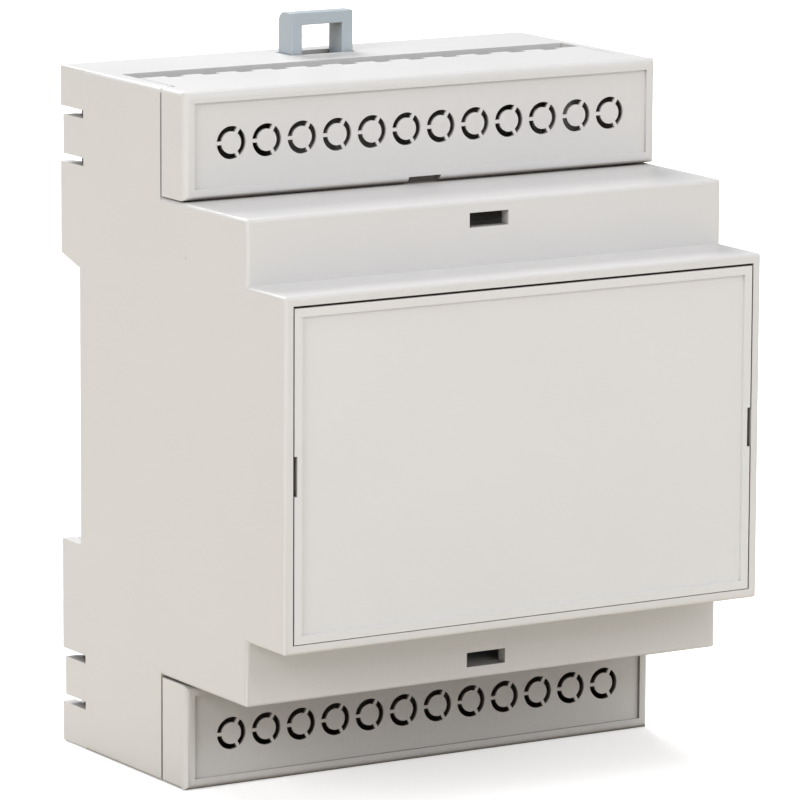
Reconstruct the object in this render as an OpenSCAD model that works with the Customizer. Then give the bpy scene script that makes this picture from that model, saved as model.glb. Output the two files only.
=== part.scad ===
// Rail-mounted module enclosure: a stepped hood that snaps over a rear base, a snap-in front
// panel, two terminal covers with knock-out discs and a sliding rail clip.
// Millimetres. X runs across the width, +Z up, and the front faces -Y. The origin is the
// centre of the footprint. Depths are counted forwards from the rear edge of the hood.

/* [Body] */
// Width, four standard modules
body_w = 71; // [62:0.5:106]
// Height without the clip's pull loop
body_h = 90; // [88:1:104]
// Depth from the rear edge to the front face
body_d = 58; // [56:1:72]
// Thickness of the hood's side walls
side_wall = 2; // [1.6:0.1:2.4]
// Thickness of the hood's other walls
wall = 1.6; // [1.4:0.1:1.8]
// Radius of the outer edges
edge_r = 0.6; // [0.3:0.1:0.8]

/* [Steps] */
// Depth of the terminal cover fronts
cover_d = 33.1; // [31:0.1:36]
// Depth of the step fronts
step_d = 48.6; // [46:0.1:50]
// Height of the stepped middle
step_h = 62; // [60:0.5:63]
// Height of the front block
block_h = 45.2; // [40:0.2:50]

/* [Rail] */
// Height of the rail that the recess takes
rail_h = 35; // [35:0.1:35.4]
// Thickness of the rail's flanges
rail_t = 1; // [0.8:0.1:1.2]
// Depth of the rail recess
recess_d = 5.2; // [4.8:0.1:5.6]
// Room above the rail for tilting it in
tilt_room = 1.4; // [1:0.1:1.8]
// Reach of the hooks and the clip over the rail's flanges
hook_reach = 2; // [1.6:0.1:2.4]
// Width of a fixed hook
hook_w = 8; // [5:0.5:12]
// Distance between the centres of the fixed hooks
hook_pitch = 40; // [34:1:46]

/* [Hood] */
// Depth of the band behind a wire slot
band_d = 13.2; // [12.4:0.1:14]
// Drop of the lip at the band's front edge
lip_h = 4; // [2:0.5:5]
// Depth at which the terminal chamber's floor starts
floor_d = 16; // [15:0.5:18]
// Depth of the shallow skirt along the rear edge, and length of the snap tongues
skirt_d = 6.6; // [6:0.1:7.4]
// Step of the skirt into the side wall
skirt_step = 0.15; // [0.05:0.05:0.3]
// Width of a snap tongue
tongue_w = 5.1; // [4:0.1:6]
// Width of the slots beside a tongue
tongue_slot = 1.1; // [0.8:0.1:1.4]
// Height of a tongue's centre from the nearer end
tongue_z = 9; // [8:0.1:10]
// Length of a window in a step front
window_l = 5.8; // [4:0.1:8]
// Height of a window in a step front
window_h = 1.9; // [1.4:0.1:2.4]

/* [Front panel] */
// Width of the hood's rim round the panel
rim = 1.25; // [1:0.05:1.5]
// Thickness of the panel
panel_t = 2; // [1.6:0.1:2.4]
// Width of the ledge behind the panel
ledge_w = 1.9; // [1.6:0.1:2.4]
// Gap round the panel
panel_gap = 0.2; // [0.1:0.05:0.3]
// Width of the raised border on the panel
border_w = 1.1; // [0.8:0.1:1.6]
// Depth of the recessed face inside the border
face_recess = 0.4; // [0.2:0.1:0.6]
// Height of a pry notch in the panel's side edges
pry_h = 5.1; // [3:0.1:7]
// Width of a pry notch
pry_w = 0.75; // [0.5:0.05:1]

/* [Terminal covers] */
// Gap between a cover and the hood
cover_gap = 0.4; // [0.3:0.05:0.5]
// Depth of a cover's side cheeks
cheek_l = 6.3; // [5:0.1:8]
// Depth of the wire slot between the band and a cover
wire_gap = 4.4; // [3.4:0.1:4.8]
// Number of knock-outs in a cover
knockouts = 12; // [6:1:12]
// Distance between knock-outs
knockout_pitch = 5.18; // [5:0.02:5.3]
// Outer diameter of a knock-out's ring of slots
knockout_d = 4.25; // [3.8:0.05:4.4]
// Width of the ring's slots
knockout_slot = 0.75; // [0.6:0.05:0.9]
// Width of the bridges that hold the disc
bridge_w = 0.55; // [0.4:0.05:0.8]
// Width of a comb notch in the cover's rear edge
comb_w = 2.3; // [1.6:0.1:3]
// Depth of a comb notch
comb_l = 1.2; // [0.6:0.1:1.6]
// Length of the release notch
release_l = 4.8; // [3:0.1:7]
// Height of the release notch
release_h = 0.6; // [0.4:0.1:0.8]

/* [Base] */
// Thickness of the base's walls
base_t = 2; // [1.6:0.1:2.2]
// Step of the base's rear face behind the hood's rear edge
base_inset = 0.6; // [0.4:0.1:0.8]
// Depth of the base's rim
base_rim_d = 9; // [8.6:0.1:10]
// Depth of the circuit board's seat on the pillars
board_d = 11; // [10.5:0.1:12]
// Diameter of a board pillar
pillar_d = 5; // [4.4:0.1:6]
// Diameter of a pillar's pilot bore
pilot_d = 2.2; // [1.8:0.1:2.6]
// Distance between the pillars across the width
pillar_x = 52; // [30:1:54]
// Distance between the pillars up the height
pillar_z = 25; // [20:1:28]
// Clearance between parts that fit into one another
fit_gap = 0.15; // [0.1:0.05:0.2]

/* [Rail clip] */
// Width of the slider
slider_w = 14.6; // [13.6:0.1:16]
// Width of the neck and its pull loop
loop_w = 9.4; // [8.8:0.1:9.8]
// Height of the pull loop above the hood
loop_h = 5.5; // [5.1:0.1:7]
// Thickness of the loop's frame
loop_t = 1.65; // [1.4:0.05:1.9]
// Thickness of the clip
clip_t = 3.5; // [3:0.1:3.6]
// Depth of the clip's rear face
clip_d = 3.7; // [3.5:0.1:3.8]
// Length of the slider above its nose
slider_l = 18; // [17:0.1:19]
// Way that the clip slides up to free the rail
travel = 3.5; // [3:0.1:4]
// Running clearance round the clip
slide_gap = 0.25; // [0.2:0.05:0.3]
// Width of a detent leg
leg_w = 1.4; // [1.2:0.1:1.6]
// Height of a detent bump out of its leg
bump_h = 0.7; // [0.5:0.1:0.8]

/* [Hidden] */
$fn = 48;
arc_steps = 5;
past = 1;

shell_colour = [0.86, 0.85, 0.81];
clip_colour = [0.62, 0.68, 0.72];

half_w = body_w / 2;
inner_x = half_w - side_wall;
mid_z = body_h / 2;
step_z = (body_h - step_h) / 2;
block_z = (body_h - block_h) / 2;
roof_z = body_h - wall;

cover_h = step_z - cover_gap;
cheek_d = cover_d - cheek_l;
plate_d = band_d + wire_gap;
knockout_z = body_h - cover_h / 2;

recess_low = mid_z - rail_h / 2 - 0.2;
recess_high = mid_z + rail_h / 2 + tilt_room;
recess_slant = 1.5;
flange_slot = rail_t + 0.3;
hook_top = mid_z - rail_h / 2 + hook_reach;

base_x = inner_x - fit_gap;
base_z = wall + fit_gap;
base_front_d = base_inset + base_t;
catch_d = base_inset + 1.6;
tongue_tip_d = base_inset + 0.3;
barb_h = 0.9;

nose_low = mid_z + rail_h / 2 - hook_reach + 0.5;
nose_high = recess_high + recess_slant + base_t;
slider_low = mid_z + rail_h / 2 + 0.8;
slider_high = nose_high + slider_l - base_t;
clip_front = clip_d + clip_t;
channel_x = slider_w / 2 + slide_gap;
channel_wall = 1.5;
mouth_high = nose_high + travel + slide_gap;
window_x = loop_w / 2;
window_high = roof_z - 4;
leg_slot = 0.9;
bump_l = 2;
bump_z = slider_high - 3;

panel_x = half_w - rim;
panel_low = block_z + rim;
panel_high = body_h - block_z - rim;
panel_seat_d = body_d - panel_t;
ledge_x = panel_x - ledge_w;
panel_hook_w = 6;
panel_hook_t = 1.2;
panel_hook_l = 4.4;
panel_hook_z = block_h / 4;
arm_t = 1.1;
arm_l = 9;
arm_w = 6;
pip_d = 2.2;
pip_h = 0.6;

// Range of a given length about its middle
function span(length, middle = 0) = [middle - length / 2, middle + length / 2];

// Points of an arc about a centre
function arc(centre, r, from, to) =
    [for (i = [0 : arc_steps]) let (a = from + (to - from) * i / arc_steps) centre + r * [cos(a), sin(a)]];

// Outline of a rectangle with round corners, over ranges of its two directions
function round_rect(u, v, r) = concat(
    arc([u[1] - r, v[0] + r], r, -90, 0),
    arc([u[1] - r, v[1] - r], r, 0, 90),
    arc([u[0] + r, v[1] - r], r, 90, 180),
    arc([u[0] + r, v[0] + r], r, 180, 270));

// Block over ranges of x, depth and z
module block(x, depth, z)
    translate([x[0], body_d / 2 - depth[1], z[0]])
        cube([x[1] - x[0], depth[1] - depth[0], z[1] - z[0]]);

// Block with every edge rounded: three round outlines that cross
module soft_block(x, depth, z, r = edge_r) {
    y = [body_d / 2 - depth[1], body_d / 2 - depth[0]];
    intersection() {
        translate([0, 0, z[0]])
            linear_extrude(z[1] - z[0]) polygon(round_rect(x, y, r));
        translate([x[0], 0, 0]) rotate([90, 0, 90])
            linear_extrude(x[1] - x[0]) polygon(round_rect(y, z, r));
        translate([0, y[1], 0]) rotate([90, 0, 0])
            linear_extrude(y[1] - y[0]) polygon(round_rect(x, z, r));
    }
}

// Prism across x whose outline is given as depth and z
module prism(x, outline)
    translate([x[0], 0, 0]) rotate([90, 0, 90])
        linear_extrude(x[1] - x[0])
            polygon([for (p = outline) [body_d / 2 - p[0], p[1]]]);

// Round bar or bore along the depth
module bar(x, depth, z, d)
    translate([x, body_d / 2 - depth[0], z]) rotate([90, 0, 0])
        cylinder(h = depth[1] - depth[0], d = d);

module both_sides() {
    children();
    mirror([1, 0, 0]) children();
}

module both_ends() {
    children();
    translate([0, 0, body_h]) mirror([0, 0, 1]) children();
}

// Space that the rail takes, through the full width
module rail_recess()
    prism([-half_w - past, half_w + past], [
        [-past, recess_low], [recess_d, recess_low], [recess_d, recess_high],
        [0, recess_high + recess_slant], [-past, recess_high + recess_slant]]);

// Outer form of the hood: rear body, step and front block
module hood_form() {
    soft_block([-half_w, half_w], [0, cheek_d], [0, body_h]);
    soft_block([-half_w, half_w], [cheek_d / 2, step_d], [step_z, body_h - step_z]);
    soft_block([-half_w, half_w], [cheek_d, body_d], [block_z, body_h - block_z]);
}

// Rooms inside the hood: board space, terminal chambers, middle and front block
module hood_rooms() {
    x = [-inner_x, inner_x];
    block(x, [-past, floor_d], [wall, roof_z]);
    block(x, [-past, step_d - wall], [step_z + wall, body_h - step_z - wall]);
    block(x, [-past, panel_seat_d - wall], [block_z + wall, body_h - block_z - wall]);
    both_ends() {
        block(x, [-past, cheek_d + past], [body_h - step_z, roof_z]);
        block(x, [band_d, cheek_d + past], [roof_z - past, body_h + past]);
    }
}

// Opening for the front panel, with the ledge that the panel rests on
module panel_opening() {
    block([-panel_x, panel_x], [panel_seat_d, body_d + past], [panel_low, panel_high]);
    block([-ledge_x, ledge_x], [panel_seat_d - wall - past, body_d + past],
        [panel_low + ledge_w, panel_high - ledge_w]);
}

// Two slots that free a snap tongue at the rear edge of the left wall
module tongue_slots() {
    x = [-half_w - past, -inner_x + past];
    for (side = [-1, 1]) {
        z = body_h - tongue_z + side * (tongue_w + tongue_slot) / 2;
        block(x, [-past, skirt_d], span(tongue_slot, z));
    }
    block(x, [-past, tongue_tip_d], span(tongue_w + tongue_slot, body_h - tongue_z));
}

// Barb inside the tongue that holds the base from behind
module tongue_barb()
    translate([0, 0, body_h - tongue_z - tongue_w / 2])
        linear_extrude(tongue_w)
            polygon([for (p = [[-past / 2, 0], [0, 0], [barb_h, 1], [-past / 2, 1]])
                [-inner_x + p[0], body_d / 2 - tongue_tip_d - p[1] * (catch_d - fit_gap - tongue_tip_d)]]);

module hood() {
    color(shell_colour) difference() {
        union() {
            difference() {
                hood_form();
                hood_rooms();
                panel_opening();
            }
            both_ends() {
                block([-inner_x - past / 2, inner_x + past / 2], [band_d - wall, band_d],
                    [roof_z - lip_h, roof_z + wall / 2]);
                both_sides() tongue_barb();
            }
        }
        rail_recess();
        both_ends() {
            both_sides() {
                tongue_slots();
                pip_seat(fit_gap);
            }
            block(span(window_l), [step_d - wall - past, step_d + past],
                [body_h - step_z - wall - window_h, body_h - step_z - wall]);
        }
        both_sides()
            block([-half_w - past, -half_w + skirt_step], [-past, skirt_d], [-past, body_h + past]);
        block(span(loop_w + 2 * slide_gap), [clip_d - slide_gap, clip_front + slide_gap],
            [roof_z - past, body_h + past]);
    }
}

// Rear wall of the base: two flat bands and the deeper floor that seats the rail
module base_pan()
    prism([-base_x, base_x], [
        [base_inset, base_z], [base_inset, recess_low], [recess_d, recess_low],
        [recess_d, recess_high], [base_inset, recess_high + recess_slant],
        [base_inset, body_h - base_z], [base_front_d, body_h - base_z],
        [base_front_d, nose_high], [recess_d + base_t, recess_high + base_t],
        [recess_d + base_t, recess_low - base_t], [base_front_d, recess_low - base_t],
        [base_front_d, base_z]]);

// Rim round the base, cut away where the rail passes
module base_rim()
    difference() {
        block([-base_x, base_x], [base_inset, base_rim_d], [base_z, body_h - base_z]);
        block(span(2 * (base_x - channel_wall)), [-past, base_rim_d + past],
            [base_z + channel_wall, body_h - base_z - channel_wall]);
        rail_recess();
    }

// Fixed hook that holds the rail's lower flange
module fixed_hook()
    prism(span(hook_w), [
        [base_inset, recess_low - past], [base_inset, hook_top - 1],
        [base_inset + 1, hook_top], [recess_d - flange_slot, hook_top],
        [recess_d - flange_slot, recess_low - past]]);

// Channel that guides the clip: side walls, front bridge and lips beside the window
module clip_channel() {
    both_sides() {
        block([channel_x, channel_x + channel_wall], [base_inset + past, base_rim_d],
            [recess_high, body_h - base_z]);
        block([window_x, channel_x + past], [base_inset, clip_d - slide_gap],
            [mouth_high, body_h - base_z]);
    }
    block([-channel_x - past, channel_x + past], [clip_front + slide_gap, base_rim_d],
        [recess_high - base_t, window_high]);
}

// What the clip needs cut from the base: its way down, a window and the bump pockets
module clip_ways() {
    block([-channel_x, channel_x], [-past, clip_front + slide_gap], [slider_low - slide_gap, mouth_high]);
    block([-window_x, window_x], [-past, clip_front + slide_gap], [mouth_high - past, window_high]);
    block([-channel_x, channel_x], [clip_d - slide_gap, clip_front + slide_gap],
        [mouth_high - past, body_h]);
    both_sides()
        block([channel_x - past, channel_x + bump_h + slide_gap],
            [clip_d - slide_gap, clip_front + slide_gap],
            [bump_z - slide_gap, bump_z + bump_l + travel + slide_gap]);
}

// Pillar for a circuit board, without its pilot bore
module pillar(x, z)
    bar(x, [recess_d + base_t / 2, board_d], z, pillar_d);

module base() {
    color(shell_colour) difference() {
        union() {
            base_pan();
            base_rim();
            clip_channel();
            both_sides() {
                translate([hook_pitch / 2, 0, 0]) fixed_hook();
                for (side = [-1, 1]) pillar(pillar_x / 2, mid_z + side * pillar_z / 2);
            }
        }
        clip_ways();
        both_sides() {
            for (side = [-1, 1])
                bar(pillar_x / 2, [recess_d + base_t, board_d + past], mid_z + side * pillar_z / 2, pilot_d);
            both_ends()
                block([base_x - channel_wall - past, base_x + past], [-past, catch_d],
                    span(tongue_w + 2 * tongue_slot + 2 * fit_gap, body_h - tongue_z));
        }
    }
}

// Snap hook behind the left edge of the panel
module panel_hook() {
    x = -ledge_x + fit_gap;
    back = panel_seat_d - panel_hook_l;
    catch = panel_seat_d - wall - fit_gap;
    translate([0, 0, -panel_hook_w / 2])
        linear_extrude(panel_hook_w)
            polygon([for (p = [
                [x, panel_seat_d + panel_t / 2], [x, catch], [x - 0.75, catch], [x - 0.75, catch - 0.6],
                [x + 0.2, back], [x + panel_hook_t, back], [x + panel_hook_t, panel_seat_d + panel_t / 2]])
                [p[0], body_d / 2 - p[1]]]);
}

module front_panel() {
    x = panel_x - panel_gap;
    z = [panel_low + panel_gap / 2, panel_high - 1.5 * panel_gap];
    color(shell_colour) difference() {
        union() {
            block([-x, x], [panel_seat_d, body_d], z);
            both_sides()
                for (side = [-1, 1]) translate([0, 0, mid_z + side * panel_hook_z]) panel_hook();
        }
        block([-x + border_w, x - border_w], [body_d - face_recess, body_d + past],
            [z[0] + border_w, z[1] - border_w]);
        both_sides()
            block([x - pry_w, x + past], [panel_seat_d - past, body_d + past], span(pry_h, mid_z));
    }
}

// Arc-shaped slot through a cover's front, from one angle round its knock-out
module arc_slot(from, sweep) {
    r = (knockout_d - knockout_slot) / 2;
    rotate([90, 0, 0]) rotate([0, 0, from]) {
        rotate_extrude(angle = sweep)
            translate([r - knockout_slot / 2, 0]) square([knockout_slot, wall + 2 * past]);
        for (end = [0, sweep])
            rotate([0, 0, end]) translate([r, 0, 0]) cylinder(h = wall + 2 * past, d = knockout_slot);
    }
}

// Ring of three slots that leaves a disc held by three bridges
module knockout() {
    r = (knockout_d - knockout_slot) / 2;
    gap = 2 * asin((bridge_w + knockout_slot) / 2 / r);
    for (turn = [-60 : 120 : 180]) arc_slot(turn + gap / 2, 120 - gap);
}

// Arm on the left of a cover that reaches in along the hood's side wall
module cover_arm() {
    x = -inner_x + fit_gap;
    z = span(arm_w, knockout_z);
    block([x, x + arm_t], [cheek_d - arm_l, cover_d - wall / 2], z);
    block([-inner_x - past / 2, x + arm_t], [cheek_d + cover_gap + past, cover_d - wall / 2], z);
    pip_seat(0);
}

// Round pip on the arm, or with a clearance the seat for it in the hood's wall
module pip_seat(clearance)
    translate([-inner_x - pip_h - clearance, body_d / 2 - cheek_d + arm_l - pip_d, knockout_z])
        rotate([0, 90, 0]) cylinder(h = pip_h + 2 * clearance + arm_t / 2, d = pip_d + 2 * clearance);

module terminal_cover() {
    low = body_h - cover_h;
    plate_x = inner_x - fit_gap;
    difference() {
        union() {
            difference() {
                soft_block([-half_w, half_w], [cheek_d + cover_gap, cover_d], [low, body_h]);
                block([-inner_x, inner_x], [0, cover_d - wall], [low - past, roof_z]);
            }
            block([-plate_x, plate_x], [plate_d, cover_d - wall / 2], [roof_z, body_h]);
            both_sides() cover_arm();
        }
        block([-half_w + border_w, half_w - border_w], [cover_d - face_recess, cover_d + past],
            [low + border_w, body_h - border_w]);
        block(span(release_l), [cover_d - wall - past, cover_d + past],
            [low - past, low + release_h]);
        for (i = [0 : knockouts - 1]) {
            x = (i - (knockouts - 1) / 2) * knockout_pitch;
            translate([x, body_d / 2 - cover_d + wall + past, knockout_z]) knockout();
            block(span(comb_w, x), [plate_d - past, plate_d + comb_l], [roof_z - past, body_h + past]);
        }
    }
}

module upper_terminal_cover()
    color(shell_colour) terminal_cover();

module lower_terminal_cover()
    color(shell_colour) translate([0, 0, body_h]) mirror([0, 0, 1]) terminal_cover();

// Slider with the nose that holds the rail's upper flange
module slider() {
    lip_d = recess_d - flange_slot;
    prism(span(slider_w), [
        [base_inset + 0.3, nose_low + 2], [lip_d - 1.2, nose_low], [lip_d, nose_low], [lip_d, slider_low],
        [clip_front, slider_low], [clip_front, slider_high], [clip_d, slider_high],
        [clip_d, nose_high], [base_inset + 0.3, nose_high - 2]]);
}

module rail_clip() {
    top = body_h + loop_h;
    corner_r = 1.4;
    color(clip_colour) difference() {
        union() {
            difference() {
                slider();
                both_sides()
                    block([slider_w / 2 - leg_w - leg_slot, slider_w / 2 - leg_w], [0, clip_front + past],
                        [nose_high + past, slider_high + past]);
            }
            prism(span(loop_w), concat(
                [[clip_front, slider_high - past], [clip_front, top]],
                [for (p = arc([corner_r, top - corner_r], corner_r, 90, 180)) [clip_d + p[0], p[1]]],
                [[clip_d, slider_high - past]]));
            both_sides()
                block([slider_w / 2 - leg_w / 2, slider_w / 2 + bump_h], [clip_d, clip_front],
                    [bump_z, bump_z + bump_l]);
        }
        block(span(loop_w - 2 * loop_t), [clip_d - past, clip_front + past],
            [roof_z, top - loop_t]);
    }
}

hood();
base();
front_panel();
upper_terminal_cover();
lower_terminal_cover();
rail_clip();
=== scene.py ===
"""Looks of a rail-mounted module enclosure: moulded plastics, a pale studio and the camera."""

import math

import bmesh
import bpy
from mathutils import Matrix, Vector


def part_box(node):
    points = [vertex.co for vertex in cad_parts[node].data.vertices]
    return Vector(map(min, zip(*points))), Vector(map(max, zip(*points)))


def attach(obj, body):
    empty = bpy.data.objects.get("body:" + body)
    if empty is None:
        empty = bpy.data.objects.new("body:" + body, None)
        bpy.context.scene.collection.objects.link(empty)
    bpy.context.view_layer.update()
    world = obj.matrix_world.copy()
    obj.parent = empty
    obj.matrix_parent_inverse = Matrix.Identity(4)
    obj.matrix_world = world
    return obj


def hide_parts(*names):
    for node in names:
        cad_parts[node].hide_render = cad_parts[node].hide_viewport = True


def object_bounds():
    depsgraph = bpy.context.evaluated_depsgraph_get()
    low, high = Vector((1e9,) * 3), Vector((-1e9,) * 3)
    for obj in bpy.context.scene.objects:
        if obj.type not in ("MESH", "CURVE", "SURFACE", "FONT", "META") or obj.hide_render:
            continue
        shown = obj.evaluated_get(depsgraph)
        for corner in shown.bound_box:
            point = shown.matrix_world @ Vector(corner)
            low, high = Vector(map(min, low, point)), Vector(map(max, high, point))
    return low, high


MM = 0.001
WHITE = (1, 1, 1, 1)

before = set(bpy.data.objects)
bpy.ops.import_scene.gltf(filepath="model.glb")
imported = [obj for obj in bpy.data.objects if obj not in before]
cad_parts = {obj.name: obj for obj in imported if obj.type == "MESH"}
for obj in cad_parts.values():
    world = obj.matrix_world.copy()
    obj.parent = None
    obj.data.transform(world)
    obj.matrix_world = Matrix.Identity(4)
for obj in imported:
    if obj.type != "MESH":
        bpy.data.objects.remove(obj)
cad_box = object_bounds()


# Sizes of the mouldings ------------------------------------------------------------------------

KNOCKOUTS = 12
PITCH = 5.18 * MM
RING_OUTER = 2.12 * MM
RING_INNER = 1.42 * MM
RING_TURNS = (0, 120, 240)
RING_STEPS = 14
BRIDGE = 0.45 * MM
WEB = 0.45 * MM
WEB_POCKET = 2.4 * MM
POCKET_STEPS = 40
POCKET_OVERCUT = 0.3 * MM

COVER_WALL = 1.6 * MM
COVER_RECESS = 0.4 * MM
COVER_EDGE = 1.0 * MM
COVER_EDGE_STEPS = 6
COVER_GAP_FILL = 0.22 * MM
COVER_BORDER = 1.45 * MM
CHEEK = 5.9 * MM
ARM = 1.1 * MM
ARM_HALF_HEIGHT = 3 * MM
ARM_SETBACK = 0.2 * MM
FIT = 0.15 * MM
RELEASE = 4.8 * MM
RELEASE_H = 0.8 * MM
COMB = 2.3 * MM
COMB_L = 1.2 * MM

SIDE_WALL = 2.0 * MM
SEAM = 6.3 * MM
SEAM_EDGE = 0.6 * MM
SEAM_EDGE_STEPS = 5
SEAM_STRIP = 1.5 * SEAM_EDGE

NOTCH_OUTER = 0.42 * MM
NOTCH_INNER = 1.0 * MM
NOTCH_DEPTH = 1.9 * MM
NOTCH_HALF_HEIGHT = 2.7 * MM
NOTCH_SETBACK = 0.02 * MM

COVER_SOFTENING = 0.06 * MM
HOOD_SOFTENING = 0.08 * MM
PANEL_SOFTENING = 0.1 * MM
CLIP_SOFTENING = 0.3 * MM
SOFTENING_STEPS = 2
SOFTENED_FROM = math.radians(50)
SHARP_FROM = math.radians(32)
NORMAL_WEIGHT = 100

OVERCUT = 1 * MM
SKIN = 0.01 * MM
MERGE = 0.002 * MM
FLAT_WITHIN = math.radians(0.3)
SAME_PLACE = 1e-7
TOP_EDGE_WITHIN = 0.1 * MM
LONG_EDGE = 2 * MM


# Colours -------------------------------------------------------------------------------------


def linear(red, green, blue):
    """A shader colour from the 0 to 255 values that a picture shows."""
    channels = [value / 255 for value in (red, green, blue)]
    return tuple(
        c / 12.92 if c <= 0.04045 else ((c + 0.055) / 1.055) ** 2.4 for c in channels
    ) + (1.0,)


def scaled(colour, factor):
    return tuple(c * factor for c in colour[:3]) + (1.0,)


SHELL = linear(216, 215, 215)
PANEL = linear(220, 220, 221)
CLIP = linear(176, 186, 193)
# Colour factor of the painted shade that darkens and browns gaps, seams and rooms.
PAINTED_SHADE_TINT = (0.16, 0.12, 0.08, 1.0)
FLOOR_SEEN = linear(238, 238, 238)
FLOOR_BOUNCE = linear(214, 207, 194)
FLOOR_LIFT = 0.45


# Materials -----------------------------------------------------------------------------------

# Reach and limits of the painted shade in gaps and rooms, from an occlusion node.
GAP_REACH = 40 * MM
GAP_SAMPLES = 8
GAP_FULL_SHADE_BELOW = 0.04
GAP_NO_SHADE_ABOVE = 0.32

DRIFT_SCALE = 45.0
DRIFT_DARKEST = 0.955
SPECK_SCALE = 120.0
SPECK_CORE = 0.02
SPECK_RIM = 0.035
SPECK_DARKNESS = 0.5
SPECK_STRENGTH = 0.45
SPECK_FIELD_SCALE = 90.0
SPECK_FIELD_FROM = 0.62
SPECK_FIELD_TO = 0.66

GRAIN_SCALE = 2600.0
GRAIN_DEPTH = 0.02 * MM
SWELL_SCALE = 60.0
SWELL_STRENGTH = 0.15
SWELL_DEPTH = 0.1 * MM
SHEEN_SPREAD = 0.1
PLASTIC_IOR = 1.5


class Nodes:
    """Short calls for building a node tree."""

    def __init__(self, name):
        self.material = bpy.data.materials.new(name)
        self.material.use_nodes = True
        self.tree = self.material.node_tree
        self.tree.nodes.clear()
        self.output = self.add("ShaderNodeOutputMaterial")

    def add(self, kind, settings=None, **inputs):
        node = self.tree.nodes.new(kind)
        for key, value in (settings or {}).items():
            setattr(node, key, value)
        for key, value in inputs.items():
            self.feed(node.inputs[key.replace("_", " ")], value)
        return node

    def feed(self, socket, value):
        if isinstance(value, bpy.types.NodeSocket):
            self.tree.links.new(value, socket)
        else:
            socket.default_value = value

    def link(self, source, target):
        self.tree.links.new(source, target)


def mix_colour(nodes, factor, first, second):
    node = nodes.add("ShaderNodeMix", {"data_type": "RGBA"})
    nodes.feed(node.inputs[0], factor)
    nodes.feed(node.inputs[6], first)
    nodes.feed(node.inputs[7], second)
    return node.outputs[2]


def gap_shade(nodes):
    """How far a place lies inside a gap or a room, as an amount of painted shade: 0 on open
    faces, 1 deep inside.
    """
    reach = nodes.add(
        "ShaderNodeAmbientOcclusion", {"samples": GAP_SAMPLES}, Distance=GAP_REACH,
    )
    shade = nodes.add(
        "ShaderNodeMapRange", Value=reach.outputs["AO"],
        From_Min=GAP_FULL_SHADE_BELOW, From_Max=GAP_NO_SHADE_ABOVE, To_Min=1.0, To_Max=0.0,
    )
    return shade.outputs[0]


def speck_amount(nodes, place):
    """Small round specks, let through only in the few places that a noise picks out."""
    cells = nodes.add("ShaderNodeTexVoronoi", Vector=place, Scale=SPECK_SCALE)
    speck = nodes.add(
        "ShaderNodeMapRange", Value=cells.outputs["Distance"],
        From_Min=SPECK_CORE, From_Max=SPECK_RIM, To_Min=1.0, To_Max=0.0,
    )
    field = nodes.add("ShaderNodeTexNoise", Vector=place, Scale=SPECK_FIELD_SCALE)
    rare = nodes.add(
        "ShaderNodeMapRange", Value=field.outputs["Fac"],
        From_Min=SPECK_FIELD_FROM, From_Max=SPECK_FIELD_TO, To_Min=0.0, To_Max=SPECK_STRENGTH,
    )
    amount = nodes.add("ShaderNodeMath", {"operation": "MULTIPLY"})
    nodes.link(speck.outputs[0], amount.inputs[0])
    nodes.link(rare.outputs[0], amount.inputs[1])
    return amount.outputs[0]


def moulded_surface(nodes, place, grain):
    """Fine grain on a slow swell, as a normal."""
    swell = nodes.add("ShaderNodeTexNoise", Vector=place, Scale=SWELL_SCALE, Detail=1.0)
    soft = nodes.add(
        "ShaderNodeBump", Strength=SWELL_STRENGTH, Distance=SWELL_DEPTH,
        Height=swell.outputs["Fac"],
    )
    fine = nodes.add("ShaderNodeTexNoise", Vector=place, Scale=GRAIN_SCALE, Detail=2.0)
    bump = nodes.add(
        "ShaderNodeBump", Strength=grain, Distance=GRAIN_DEPTH,
        Height=fine.outputs["Fac"], Normal=soft.outputs["Normal"],
    )
    return bump.outputs["Normal"]


def moulded_plastic(name, colour, roughness, grain):
    """Injection-moulded plastic: slow tint drift, a few specks, fine grain and painted shade in
    gaps.
    """
    nodes = Nodes(name)
    place = nodes.add("ShaderNodeTexCoord").outputs["Object"]
    drift = nodes.add(
        "ShaderNodeTexNoise", Vector=place, Scale=DRIFT_SCALE, Detail=3.0, Roughness=0.5,
    )
    tint = mix_colour(nodes, drift.outputs["Fac"], scaled(colour, DRIFT_DARKEST), colour)
    tint = mix_colour(nodes, speck_amount(nodes, place), tint, scaled(colour, SPECK_DARKNESS))
    # Painted shade: the colour turns darker and browner in gaps, seams and rooms.
    painted_shade = tuple(c * g for c, g in zip(colour, PAINTED_SHADE_TINT))
    tint = mix_colour(nodes, gap_shade(nodes), tint, painted_shade)
    sheen = nodes.add(
        "ShaderNodeMapRange", Value=drift.outputs["Fac"],
        To_Min=roughness * (1 - SHEEN_SPREAD), To_Max=roughness * (1 + SHEEN_SPREAD),
    )
    shader = nodes.add(
        "ShaderNodeBsdfPrincipled", Base_Color=tint, Roughness=sheen.outputs[0],
        IOR=PLASTIC_IOR, Normal=moulded_surface(nodes, place, grain),
    )
    nodes.link(shader.outputs[0], nodes.output.inputs["Surface"])
    return nodes.material


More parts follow.
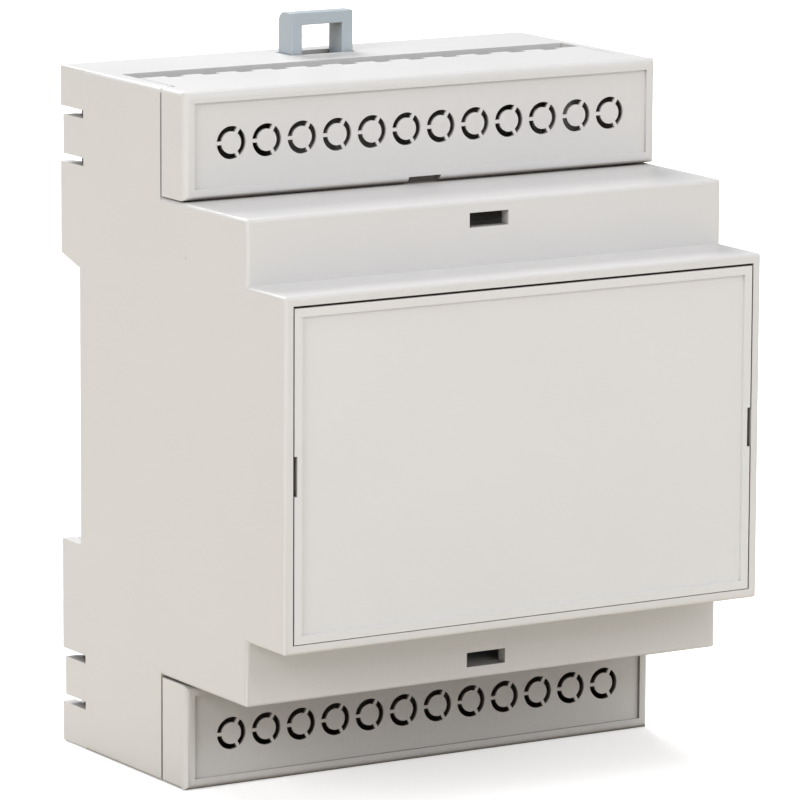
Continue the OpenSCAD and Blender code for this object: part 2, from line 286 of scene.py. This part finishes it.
def floor_paint():
    """Pale floor that fades to white for the camera and keeps the object's shadow."""
    nodes = Nodes("studio_floor")
    path = nodes.add("ShaderNodeLightPath")
    matt = nodes.add("ShaderNodeBsdfDiffuse", Color=FLOOR_BOUNCE)
    seen = nodes.add("ShaderNodeBsdfDiffuse", Color=FLOOR_SEEN)
    lift = nodes.add("ShaderNodeEmission", Color=WHITE, Strength=FLOOR_LIFT)
    lit = nodes.add("ShaderNodeAddShader")
    nodes.link(seen.outputs[0], lit.inputs[0])
    nodes.link(lift.outputs[0], lit.inputs[1])
    choose = nodes.add("ShaderNodeMixShader")
    nodes.link(path.outputs["Is Camera Ray"], choose.inputs[0])
    nodes.link(matt.outputs[0], choose.inputs[1])
    nodes.link(lit.outputs[0], choose.inputs[2])
    nodes.link(choose.outputs[0], nodes.output.inputs["Surface"])
    return nodes.material


# Studio --------------------------------------------------------------------------------------

FLOOR_SIZE = 6
WORLD_GLOW = 0.33

# Each lamp's name, its place and its disc's width in metres, and its watts.
LAMPS = (
    ("left", (-1.1, -0.35, 0.75), 0.8, 6.9),
    ("front", (0.1, -1.2, 0.9), 0.8, 5.9),
    ("right", (1.1, -0.7, 0.6), 0.8, 0.75),
    ("top", (-0.1, -0.1, 1.3), 0.9, 3.7),
    ("back", (0.1, 1.0, 1.0), 0.9, 18.3),
    ("low_front", (0.0, -1.2, 0.12), 0.5, 1.8),
)

CAMERA_AZIMUTH = math.radians(-31.54)
CAMERA_ELEVATION = math.radians(10.44)
CAMERA_ROLL = math.radians(0.29)
CAMERA_DISTANCE = 827.45 * MM
CAMERA_TARGET = (0, 0, 45 * MM)
CAMERA_SENSOR = 36.0
CAMERA_LENS = 286.5
CAMERA_SHIFT_X = -0.0090
CAMERA_SHIFT_Y = 0.0194
CAMERA_NEAR = 0.05
CAMERA_FAR = 20.0


def make_floor():
    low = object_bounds()[0].z
    bpy.ops.mesh.primitive_plane_add(size=FLOOR_SIZE, location=(0, 0, low))
    floor = bpy.context.object
    floor.name = "studio_floor"
    floor.data.materials.append(floor_paint())


def make_world():
    """White behind the object, and a soft even glow for all the light it gives."""
    world = bpy.data.worlds.new("studio")
    world.use_nodes = True
    tree = world.node_tree
    tree.nodes.clear()
    path = tree.nodes.new("ShaderNodeLightPath")
    glow = tree.nodes.new("ShaderNodeBackground")
    glow.inputs["Strength"].default_value = WORLD_GLOW
    glow.inputs["Color"].default_value = WHITE
    seen = tree.nodes.new("ShaderNodeBackground")
    seen.inputs["Color"].default_value = WHITE
    choose = tree.nodes.new("ShaderNodeMixShader")
    tree.links.new(path.outputs["Is Camera Ray"], choose.inputs[0])
    tree.links.new(glow.outputs[0], choose.inputs[1])
    tree.links.new(seen.outputs[0], choose.inputs[2])
    output = tree.nodes.new("ShaderNodeOutputWorld")
    tree.links.new(choose.outputs[0], output.inputs["Surface"])
    bpy.context.scene.world = world


def make_lamp(name, place, size, watts, aim):
    data = bpy.data.lights.new(name, "AREA")
    data.shape = "DISK"
    data.size = size
    data.energy = watts
    lamp = bpy.data.objects.new(name, data)
    lamp.location = place
    lamp.rotation_mode = "QUATERNION"
    lamp.rotation_quaternion = (Vector(aim) - Vector(place)).to_track_quat("-Z", "Y")
    bpy.context.scene.collection.objects.link(lamp)


def make_lamps():
    middle = (cad_box[0] + cad_box[1]) / 2
    for name, place, size, watts in LAMPS:
        make_lamp(name, place, size, watts, middle)


def make_camera():
    """A long lens to the left of the front, a little above it."""
    back = Vector((
        math.sin(CAMERA_AZIMUTH) * math.cos(CAMERA_ELEVATION),
        -math.cos(CAMERA_AZIMUTH) * math.cos(CAMERA_ELEVATION),
        math.sin(CAMERA_ELEVATION),
    ))
    data = bpy.data.cameras.new("camera")
    data.sensor_width = CAMERA_SENSOR
    data.lens = CAMERA_LENS
    data.shift_x = CAMERA_SHIFT_X
    data.shift_y = CAMERA_SHIFT_Y
    data.clip_start = CAMERA_NEAR
    data.clip_end = CAMERA_FAR
    camera = bpy.data.objects.new("camera", data)
    camera.location = Vector(CAMERA_TARGET) + back * CAMERA_DISTANCE
    camera.rotation_mode = "QUATERNION"
    aim = (-back).to_track_quat("-Z", "Y")
    camera.rotation_quaternion = aim @ Matrix.Rotation(CAMERA_ROLL, 3, "Z").to_quaternion()
    bpy.context.scene.collection.objects.link(camera)
    bpy.context.scene.camera = camera


# Solids and mesh steps -------------------------------------------------------------------------


def put(name, mesh_maker):
    """A new object whose mesh the given function fills."""
    mesh = bpy.data.meshes.new(name)
    piece = bpy.data.objects.new(name, mesh)
    bpy.context.scene.collection.objects.link(piece)
    shape = bmesh.new()
    mesh_maker(shape)
    bmesh.ops.recalc_face_normals(shape, faces=shape.faces)
    shape.to_mesh(mesh)
    shape.free()
    return piece


def add_prism(shape, outline, low, high):
    """Closed prism along Y over an outline of (x, z) points."""
    ends = [[shape.verts.new((x, y, z)) for x, z in outline] for y in (low, high)]
    for end in ends:
        shape.faces.new(end)
    for i in range(len(outline)):
        j = (i + 1) % len(outline)
        shape.faces.new((ends[0][i], ends[0][j], ends[1][j], ends[1][i]))


def add_block(shape, x, y, z):
    """Block between two x, two y and two z values."""
    add_prism(shape, [(x[0], z[0]), (x[1], z[0]), (x[1], z[1]), (x[0], z[1])], y[0], y[1])


def add_disc(shape, x, z, radius, low, high):
    turn = [2 * math.pi * i / POCKET_STEPS for i in range(POCKET_STEPS)]
    outline = [(x + radius * math.cos(a), z + radius * math.sin(a)) for a in turn]
    add_prism(shape, outline, low, high)


def add_ring_slot(shape, x, z, middle, low, high):
    """A third of a ring whose two ends run parallel to the bridges beside them."""
    outline = []
    for radius, forwards in ((RING_OUTER, True), (RING_INNER, False)):
        half = math.radians(60) - math.asin(BRIDGE / 2 / radius)
        angles = [middle - half + 2 * half * i / RING_STEPS for i in range(RING_STEPS + 1)]
        for angle in angles if forwards else reversed(angles):
            outline.append((x + radius * math.cos(angle), z + radius * math.sin(angle)))
    add_prism(shape, outline, low, high)


def apply_all(piece):
    graph = bpy.context.evaluated_depsgraph_get()
    piece.data = bpy.data.meshes.new_from_object(piece.evaluated_get(graph))
    piece.modifiers.clear()


def combine(piece, operation, name, mesh_maker):
    """Joins or cuts the piece with the solid that the given function makes."""
    tool = put(name, mesh_maker)
    change = piece.modifiers.new("combine", "BOOLEAN")
    change.object = tool
    change.operation = operation
    change.solver = "EXACT"
    apply_all(piece)
    bpy.data.objects.remove(tool)


def tidy(piece):
    """Merges points that lie together and joins the triangles of flat faces."""
    shape = bmesh.new()
    shape.from_mesh(piece.data)
    bmesh.ops.remove_doubles(shape, verts=shape.verts, dist=MERGE)
    bmesh.ops.dissolve_degenerate(shape, edges=shape.edges, dist=MERGE)
    bmesh.ops.dissolve_limit(
        shape, angle_limit=FLAT_WITHIN, verts=shape.verts, edges=shape.edges,
    )
    shape.to_mesh(piece.data)
    shape.free()


def round_edges(piece, width):
    bevel = piece.modifiers.new("edges", "BEVEL")
    bevel.width = width
    bevel.segments = SOFTENING_STEPS
    bevel.limit_method = "ANGLE"
    bevel.angle_limit = SOFTENED_FROM
    bevel.use_clamp_overlap = True
    apply_all(piece)
    piece.data.shade_smooth()
    piece.data.set_sharp_from_angle(angle=SHARP_FROM)
    even = piece.modifiers.new("normals", "WEIGHTED_NORMAL")
    even.keep_sharp = True
    even.weight = NORMAL_WEIGHT
    apply_all(piece)


def copy_of(node, name):
    piece = bpy.data.objects.new(name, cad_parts[node].data.copy())
    bpy.context.scene.collection.objects.link(piece)
    tidy(piece)
    return piece


def stand_for(piece, node, body, material):
    piece.data.materials.clear()
    piece.data.materials.append(material)
    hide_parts(node)
    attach(piece, body)


def both_ways(first, second):
    """The two x ranges, left and right, between two distances from the middle plane."""
    return [sorted((side * first, side * second)) for side in (-1, 1)]


# Terminal covers -------------------------------------------------------------------------------


def knockout_places():
    return [(i - (KNOCKOUTS - 1) / 2) * PITCH for i in range(KNOCKOUTS)]


def cover_shell(shape, half, front, rear, low, high):
    """Block with a rounded rim at the front and softened upper corners at the seams."""
    add_block(shape, (-half, half), (front, rear), (low, high))
    rims = [e for e in shape.edges if all(abs(v.co.y - front) < SAME_PLACE for v in e.verts)]
    bmesh.ops.bevel(
        shape, geom=rims, offset=COVER_EDGE, segments=COVER_EDGE_STEPS, profile=0.5,
        affect="EDGES",
    )
    sides = [
        e for e in shape.edges
        if abs(e.verts[0].co.y - e.verts[1].co.y) > LONG_EDGE
        and e.verts[0].co.z > high - TOP_EDGE_WITHIN
    ]
    bmesh.ops.bevel(
        shape, geom=sides, offset=SEAM_EDGE, segments=SEAM_EDGE_STEPS, profile=0.5,
        affect="EDGES",
    )


def terminal_cover(node, upper):
    """Cover with thin webs behind its knock-outs; the lower one is the upper one turned over."""
    low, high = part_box(node)
    half = high.x
    front = low.y
    rear = high.y
    top = high.z
    bottom = low.z - COVER_GAP_FILL
    middle = (low.z + high.z) / 2
    if not upper:
        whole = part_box("hood")[0].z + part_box("hood")[1].z
        top = whole - low.z
        bottom = whole - high.z - COVER_GAP_FILL
        middle = whole - middle
    inner = half - SIDE_WALL
    roof = top - COVER_WALL

    def outside(shape):
        cover_shell(shape, half, front, front + CHEEK, bottom, top)

    def room(shape):
        add_block(shape, (-inner, inner), (front + COVER_WALL, rear), (bottom - OVERCUT, roof))

    def plate(shape):
        add_block(
            shape, (-inner + FIT, inner - FIT), (front + COVER_WALL / 2, rear),
            (roof - SKIN, top),
        )

    def arms(shape):
        for x in both_ways(inner - FIT, inner - FIT - ARM):
            add_block(
                shape, x, (front + COVER_WALL / 2, rear - ARM_SETBACK),
                (middle - ARM_HALF_HEIGHT, middle + ARM_HALF_HEIGHT),
            )

    def cuts(shape):
        add_block(
            shape, (-half + COVER_BORDER, half - COVER_BORDER),
            (front - OVERCUT, front + COVER_RECESS),
            (bottom + COVER_BORDER, top - COVER_BORDER),
        )
        add_block(
            shape, (-RELEASE / 2, RELEASE / 2), (front - OVERCUT, front + COVER_WALL + OVERCUT),
            (bottom - OVERCUT, bottom + RELEASE_H),
        )
        for x in knockout_places():
            add_block(
                shape, (x - COMB / 2, x + COMB / 2), (rear - COMB_L, rear + OVERCUT),
                (roof - OVERCUT, top + OVERCUT),
            )

    def rings(shape):
        for x in knockout_places():
            for turn in RING_TURNS:
                add_ring_slot(
                    shape, x, middle, math.radians(turn),
                    front - OVERCUT, front + COVER_WALL + OVERCUT,
                )

    def pockets(shape):
        for x in knockout_places():
            add_disc(
                shape, x, middle, WEB_POCKET,
                front + COVER_RECESS + WEB, front + COVER_WALL + POCKET_OVERCUT,
            )

    piece = put(node + "_moulding", outside)
    combine(piece, "DIFFERENCE", "room", room)
    combine(piece, "UNION", "plate", plate)
    combine(piece, "UNION", "arms", arms)
    combine(piece, "DIFFERENCE", "cuts", cuts)
    combine(piece, "DIFFERENCE", "rings", rings)
    combine(piece, "DIFFERENCE", "pockets", pockets)
    tidy(piece)
    if not upper:
        flip = Matrix.Translation((0, 0, whole)) @ Matrix.Diagonal((1, 1, -1, 1))
        piece.data.transform(flip)
        piece.data.flip_normals()
    round_edges(piece, COVER_SOFTENING)
    return piece


# Other mouldings -------------------------------------------------------------------------------


def hood_moulding():
    """Hood whose side walls end in a crisp edge at the seams beside the covers."""
    piece = copy_of("hood", "hood_moulding")
    low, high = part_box("hood")
    cover_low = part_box("upper_terminal_cover")[0]
    step = cover_low.z
    seam = cover_low.y + SEAM
    upper = (step - OVERCUT, high.z - SEAM_EDGE)
    lower = (low.z + SEAM_EDGE, low.z + high.z - step + OVERCUT)

    def seam_edges(shape):
        for x in both_ways(high.x - SKIN, high.x - SIDE_WALL / 2):
            for z in (upper, lower):
                add_block(shape, x, (seam + SKIN, seam + SEAM_STRIP), z)

    combine(piece, "UNION", "seam_edges", seam_edges)
    tidy(piece)
    round_edges(piece, HOOD_SOFTENING)
    return piece


def panel_moulding():
    """Front panel with softened edges and narrow pry notches."""
    piece = copy_of("front_panel", "front_panel_moulding")
    low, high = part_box("front_panel")
    middle = (low.z + high.z) / 2

    def notch_fill(shape):
        for x in both_ways(high.x - NOTCH_OUTER, high.x - NOTCH_INNER):
            add_block(
                shape, x, (low.y + NOTCH_SETBACK, low.y + NOTCH_DEPTH),
                (middle - NOTCH_HALF_HEIGHT, middle + NOTCH_HALF_HEIGHT),
            )

    combine(piece, "UNION", "notch_fill", notch_fill)
    tidy(piece)
    round_edges(piece, PANEL_SOFTENING)
    return piece


def clip_moulding():
    piece = copy_of("rail_clip", "rail_clip_moulding")
    round_edges(piece, CLIP_SOFTENING)
    return piece


# Scene -----------------------------------------------------------------------------------------

shell = moulded_plastic("shell_plastic", SHELL, 0.33, 0.25)
panel = moulded_plastic("panel_plastic", PANEL, 0.4, 0.35)
clip = moulded_plastic("clip_plastic", CLIP, 0.35, 0.2)

stand_for(hood_moulding(), "hood", "enclosure", shell)
stand_for(panel_moulding(), "front_panel", "enclosure", panel)
for cover_node, is_upper in (("upper_terminal_cover", True), ("lower_terminal_cover", False)):
    stand_for(terminal_cover(cover_node, is_upper), cover_node, "enclosure", shell)
stand_for(clip_moulding(), "rail_clip", "clip", clip)
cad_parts["base"].data.materials.clear()
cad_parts["base"].data.materials.append(shell)

make_floor()
make_world()
make_lamps()
make_camera()
bpy.context.scene.view_settings.view_transform = "Standard"
